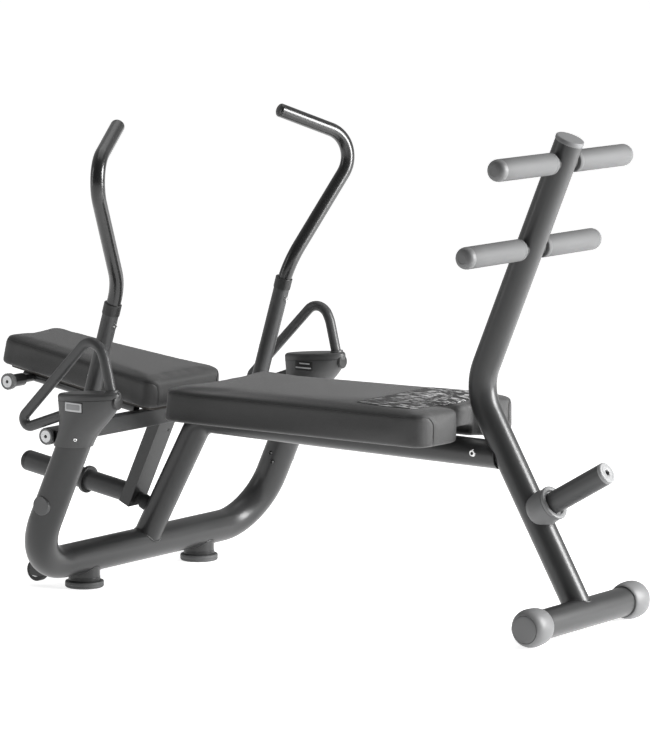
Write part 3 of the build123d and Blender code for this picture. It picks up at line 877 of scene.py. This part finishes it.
def addRoundCap(name, centre, axis, body):
    turnedPiece(name + "Ring", centre, axis, capRingForm, capPlastic, body, "cap_grey", 72)
    turnedPiece(name + "Face", centre, axis, capFaceForm, whiteFace, body, "cap_grey", 72, hexFrom=7)
    turnedPiece(name + "Core", centre, axis, capCoreForm, shadeAndTrimBlack, body, "black_plastic", 24,
                hexFrom=0)
    along, sideways, other = axisBasis(axis)
    outwards = aroundAxis(Vector((0, 0, 0)), sideways, other, 1, roundCap["grips"])
    for k, outward in enumerate(outwards):
        spot = centre + outward * roundCap["gripOut"] - along * roundCap["gripBack"]
        turnedPiece(name + "Grip" + str(k), spot, outward, capGripForm, capPlastic, body, "cap_grey", 10)


for side, sign in sideSigns.items():
    addRoundCap("hingeEnd_" + side, outerEnd("hinge_cap_" + side, sign, roundCap["inset"]),
                (0, sign, 0), "frame")
    addRoundCap("pegEnd_" + side, outerEnd("peg_cap_" + side, sign, roundCap["inset"]), (0, sign, 0),
                "crunch_frame")
    for label, face in (("A", -1), ("B", 1)):
        turnedPiece("hub_" + side + label, outerEnd("wheel_" + side, face), (0, face, 0), hubForm,
                    hubPlastic, "wheel_" + side, "tyre_rubber", 48)
print("end caps made")

grip = {"endX": -0.293, "endY": 0.308, "endZ": 1.087, "bendX": -0.2, "bendY": 0.512, "bendZ": 1.004}
gripEndForm = [(0.0164, -0.003), (0.0165, 0.0), (0.0163, 0.0013), (0.0152, 0.0032), (0.0132, 0.0046),
               (0.0104, 0.0053), (0.0098, 0.0049), (0.009, 0.0054), (0.005, 0.0058), (0.0003, 0.0059)]
for side, sign in sideSigns.items():
    last = Vector((grip["endX"], sign * grip["endY"], grip["endZ"]))
    bend = Vector((grip["bendX"], sign * grip["bendY"], grip["bendZ"]))
    turnedPiece("gripEnd_" + side, last, last - bend, gripEndForm, gripSkin, "crunch_frame",
                "grip_rubber", 48)

plate = {"across": 28, "up": 14, "sink": 0.0006}


def drapedPlate(name, side, outside, xRange, zRange, corner, lift, material, slotName):  # lies on a cover
    face = bracketFace(side, outside)
    midX, midZ = sum(xRange) / 2, sum(zRange) / 2
    halfX, halfZ = (xRange[1] - xRange[0]) / 2, (zRange[1] - zRange[0]) / 2
    rows = []
    for i in range(plate["up"] + 1):
        row = []
        for j in range(plate["across"] + 1):
            x, z = (2 * j / plate["across"] - 1) * halfX, (2 * i / plate["up"] - 1) * halfZ
            overX, overZ = max(0, abs(x) - (halfX - corner)), max(0, abs(z) - (halfZ - corner))
            over = math.hypot(overX, overZ)
            if over > corner:
                x = math.copysign(halfX - corner + overX * corner / over, x)
                z = math.copysign(halfZ - corner + overZ * corner / over, z)
            edge = i in (0, plate["up"]) or j in (0, plate["across"])
            out = face[1] * (-plate["sink"] if edge else lift)
            row.append(hitFace(face, side, midX + x, midZ + z)[0] + Vector((0, out, 0)))
        rows.append(row)
    return addPiece(name, *gridOf(rows), material, "frame", slotName)


badgeSilver = makeMoulded("badgeSilver", 0.42, 0.55, 0.3, 900.0, 0.00006, 0.2)
badgeField = makeMoulded("badgeField", 0.2, 0.27, 0.34, 900.0, 0.00006, 0.3)
plates = {  # on the outer cover or not, x range, z range, corner, lift, finish, slot
    "badgeFrame": (True, (-0.324, -0.266), (0.4525, 0.4795), 0.0035, 0.0007, blackPlastic,
                   "black_plastic"),
    "badgePlate": (True, (-0.3215, -0.2685), (0.455, 0.477), 0.003, 0.0012, badgeSilver, "cap_grey"),
    "badgeField": (True, (-0.317, -0.273), (0.459, 0.473), 0.006, 0.0017, badgeField, "cap_grey"),
    "windowField": (False, (-0.315, -0.258), (0.4535, 0.4795), 0.005, 0.0006, blackPlastic,
                    "black_plastic"),
    "windowBarUpper": (False, (-0.298, -0.266), (0.4712, 0.4744), 0.0014, 0.0014, badgeSilver,
                       "cap_grey"),
    "windowBarLower": (False, (-0.31, -0.262), (0.4606, 0.4642), 0.0014, 0.0014, badgeSilver, "cap_grey"),
}
for side in sideSigns:
    for label, settings in plates.items():
        drapedPlate(label + "_" + side, side, *settings)

endStop = {"x": -0.2045, "z": 0.4795, "axis": (1, 0, 0.05)}
grommet = {"x": -0.2179, "z": 0.5018, "axis": (-0.022, 0, 0.089)}
lid = {"x": -0.283, "z": 0.4795, "halfX": 0.0833, "halfY": 0.0412, "slope": 0.085, "steps": 160,
       "radius": 0.0007}
stopForm = [(0.0145, 0.0), (0.0165, 0.0012), (0.0172, 0.0035), (0.0168, 0.0062), (0.0148, 0.008),
            (0.01, 0.0086), (0.0004, 0.0088)]
grommetForm = [(0.0165, -0.004), (0.0172, -0.0015), (0.0168, 0.0012), (0.0152, 0.0027), (0.0134, 0.003),
               (0.0122, 0.0022), (0.0118, 0.0)]
for side, sign in sideSigns.items():
    turnedPiece("endStop_" + side, (endStop["x"], sign * upright["y"], endStop["z"]), endStop["axis"],
                stopForm, blackPlastic, "frame", "black_plastic", 48)
    turnedPiece("loopGrommet_" + side, (grommet["x"], sign * upright["y"], grommet["z"]), grommet["axis"],
                grommetForm, bracketPlastic, "frame", "bracket_plastic", 48)
    outerTree, innerTree = bracketFace(side, True)[0], bracketFace(side, False)[0]
    rimLine = []
    for k in range(lid["steps"]):
        angle = 2 * math.pi * k / lid["steps"]
        alongX, aside = lid["halfX"] * math.cos(angle), lid["halfY"] * math.sin(angle)
        probe = Vector((lid["x"] + alongX, sign * upright["y"] + aside, lid["z"] + lid["slope"] * alongX))
        tree = outerTree if (probe.y - sign * upright["y"]) * sign > 0 else innerTree
        rimLine.append(tree.find_nearest(probe)[0])
    sweptPiece("lidLine_" + side, rimLine, lid["radius"], shadeAndTrimBlack, "frame", "black_plastic",
               closed=True, sides=6)
print("bracket trim made")


def meetLine(origin, axis, radius, other):  # where two tubes meet
    along, side, across = axisBasis(axis)
    otherAxis = Vector(other["axis"]).normalized()
    line = []
    for start in aroundAxis(Vector(origin), side, across, radius, 120):
        gap = start - Vector(other["origin"])
        gap -= otherAxis * gap.dot(otherAxis)
        run = along - otherAxis * along.dot(otherAxis)
        a, b, c = run.dot(run), 2 * gap.dot(run), gap.dot(gap) - other["radius"] ** 2
        inside = b * b - 4 * a * c
        if inside >= 0:
            line.append(start + along * ((-b - math.sqrt(inside)) / (2 * a)))
    return line


weld = {"size": 0.0021, "sleeve": 0.0017, "link": 0.0018,
        "ripple": 0.0045, "swell": 0.22, "spacing": 0.0012, "sides": 10, "back": 0.2}


def addWeld(name, line, body, closed=True, size=weld["size"]):
    points = resample(list(line) + ([line[0]] if closed else []), weld["spacing"])
    if closed:
        points = points[:-1]
    piece = sweptPiece(name, points, size, framePaint, body, "frame_paint", closed=closed,
                       sides=weld["sides"])
    centres = np.repeat(np.array(points), weld["sides"], axis=0)
    distance = np.repeat(np.arange(len(points)) * weld["spacing"], weld["sides"])
    swell = 1 + weld["swell"] * np.abs(np.sin(distance * math.pi / weld["ripple"]))
    writePoints(piece.data, centres + (readPoints(piece.data) - centres) * swell[:, None])


centrePost = {"foot": Vector((-0.471, 0, 0.072)), "bend": Vector((-0.296, 0, 0.385)), "radius": 0.03175}
baseTube = {"origin": (-0.468, 0, 0.072), "axis": (0, 1, 0), "radius": 0.03805}
crossTube = {"origin": (0.761, 0, 0.0425), "axis": (0, 1, 0), "radius": 0.033}
foot = {"x": -0.473, "y": 0.218, "ribZ": 0.0155, "sleeveRadius": 0.0365, "below": -0.1}
link = {"lean": math.radians(25), "hornZ": 0.186, "hornTilt": math.radians(9), "hornRadius": 0.024,
        "hornSteps": 90, "half": 0.0155, "weldZ": 0.3665, "weldDrop": 0.018, "weldY": 0.0295,
        "plugZ": 0.352, "plugY": 0.016}
linkSlope = math.tan(link["lean"])
linkFront = Vector((math.cos(link["lean"]), 0, -math.sin(link["lean"])))


def linkPoint(z, y=0.0):
    return Vector((hinge["x"] - (hinge["z"] - z) * linkSlope, y, z))


postDirection = (centrePost["bend"] - centrePost["foot"]).normalized()
addWeld("weldPost", meetLine(centrePost["foot"] + postDirection * weld["back"], -postDirection,
                             centrePost["radius"], baseTube), "frame")
addWeld("weldCross", meetLine(footPost["foot"] - postFall * weld["back"], postFall,
                              footPost["radius"], crossTube), "frame")
for side, sign in sideSigns.items():
    line = meetLine((foot["x"], sign * foot["y"], foot["below"]), (0, 0, 1), foot["sleeveRadius"],
                    baseTube)
    addWeld("weldSleeve_" + side, line, "frame", size=weld["sleeve"])

hornRise = Vector((-math.cos(link["hornTilt"]), 0, math.sin(link["hornTilt"])))
hornBasis = axisBasis(hornRise)
hornRoot = linkPoint(link["hornZ"])
hornLine = []
for start in aroundAxis(hornRoot, hornBasis[1], hornBasis[2], link["hornRadius"], link["hornSteps"]):
    gap = (hornRoot - linkFront * link["half"] - start).dot(linkFront) / hornRise.dot(linkFront)
    hornLine.append(start + hornRise * gap)
addWeld("weldHorn", hornLine, "crunch_frame")
linkTopX = hinge["x"] - link["weldDrop"] * linkSlope
halfRun = link["half"] / math.cos(link["lean"])
for side, sign in sideSigns.items():
    run = [Vector((linkTopX - halfRun + 2 * halfRun * t, sign * link["weldY"], link["weldZ"]))
           for t in np.linspace(0, 1, 12)]
    addWeld("weldLink_" + side, run, "crunch_frame", closed=False, size=weld["link"])
print("welds laid")

ribForm = [(0.034, 0.0), (0.0372, 0.0004), (0.0374, 0.0014), (0.0366, 0.0021), (0.0366, 0.0033),
           (0.0374, 0.004), (0.0374, 0.005), (0.0366, 0.0057), (0.0366, 0.0069), (0.0373, 0.0076),
           (0.0372, 0.0088), (0.0362, 0.0095), (0.034, 0.0096)]
discForm = [(0.0385, 0.0), (0.0432, 0.0), (0.0452, 0.0022), (0.0455, 0.0045), (0.0449, 0.0062),
            (0.0455, 0.0079), (0.0455, 0.0119), (0.0446, 0.0142), (0.0424, 0.015), (0.037, 0.0152),
            (0.0004, 0.0152)]
plugForm = [(0.0036, -0.001), (0.0038, 0.0003), (0.003, 0.0007), (0.0022, 0.0003), (0.0003, 0.0002)]
for side, sign in sideSigns.items():
    turnedPiece("footRibs_" + side, (foot["x"], sign * foot["y"], foot["ribZ"]), (0, 0, 1), ribForm,
                framePaint, "frame", "frame_paint", 96)
    disc = turnedPiece("footDisc_" + side, (foot["x"], sign * foot["y"], 0.0), (0, 0, 1), discForm,
                       footRubber, "frame", "foot_rubber", 96)
    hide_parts("foot_pad_" + side)
turnedPiece("linkPlug", linkPoint(link["plugZ"], link["plugY"]) + linkFront * link["half"], linkFront,
            plugForm, shadeAndTrimBlack, "crunch_frame", "black_plastic", 32)
print("small trim made")

studio = {"floorSize": 60.0, "floorGlow": 0.74, "floorPale": 0.9, "ambient": 0.42, "front": 0.14,
          "strength": 1.0, "facing": (-0.5883, 0.8086, 0.0)}


def makeFloor():
    size = studio["floorSize"]
    mesh = bpy.data.meshes.new("floor")
    mesh.from_pydata([(-size, -size, 0), (size, -size, 0), (size, size, 0), (-size, size, 0)], [],
                     [(0, 1, 2, 3)])
    floor = bpy.data.objects.new("floor", mesh)
    bpy.context.scene.collection.objects.link(floor)
    material, place = startMaterial("floorPale")
    cloud = place.noise(0.7, 4.0)
    closeMaterial(material, place, {
        "Base Color": blendColour(cloud, grey(studio["floorPale"]), grey(studio["floorPale"] + 0.02)),
        "Roughness": 0.72 + cloud * 0.1,
        "Emission Color": (1, 1, 1, 1),
        "Emission Strength": studio["floorGlow"],
        "Specular IOR Level": 0.1,
    })
    mesh.materials.append(material)


def makeWorld():  # darker in front of the machine than behind it
    world = bpy.data.worlds.new("studio")
    bpy.context.scene.world = world
    world.use_nodes = True
    world.node_tree.nodes.clear()
    direction = Sock(world.node_tree, None).make("ShaderNodeTexCoord", None, None, out="Generated")
    facing = direction.make("ShaderNodeVectorMath", {"operation": "DOT_PRODUCT"},
                            {0: direction, 1: studio["facing"]}, out=1)
    level = facing.step(-0.75, 0.55) * (studio["ambient"] - studio["front"]) + studio["front"]
    shade = level.make("ShaderNodeCombineColor", None, {0: level, 1: level, 2: level})
    glow = shade.make("ShaderNodeBackground", None, {"Color": shade, "Strength": studio["strength"]})
    output = world.node_tree.nodes.new("ShaderNodeOutputWorld")
    world.node_tree.links.new(glow.link, output.inputs["Surface"])


def aimed(name, data, place, target):
    thing = bpy.data.objects.new(name, data)
    bpy.context.scene.collection.objects.link(thing)
    thing.location = place
    thing.rotation_euler = (Vector(target) - Vector(place)).to_track_quat("-Z", "Y").to_euler()
    return thing


def areaLight(name, place, target, power, width, tall):
    data = bpy.data.lights.new(name, "AREA")
    data.energy = power
    data.shape = "RECTANGLE"
    data.size = width
    data.size_y = tall
    aimed(name, data, place, target)


makeFloor()
makeWorld()
areaLight("rightBank", (3.1, 1.5, 1.5), (0.2, 0, 0.5), 250.0, 1.3, 2.2)
areaLight("topBank", (-0.3, 0.5, 3.4), (0, 0, 0.4), 21.0, 2.6, 2.6)
areaLight("leftStrip", (-3.2, -2.6, 1.7), (-0.2, 0, 0.5), 16.0, 0.7, 2.4)
cameraData = bpy.data.cameras.new("camera")
cameraData.lens = 202.2
cameraData.sensor_width = 36.0
cameraData.clip_end = 200.0
bpy.context.scene.camera = aimed("camera", cameraData, (5.665, -7.702, 1.819), (0.0616, 0, 0.5158))
bpy.context.scene.view_settings.view_transform = "Standard"
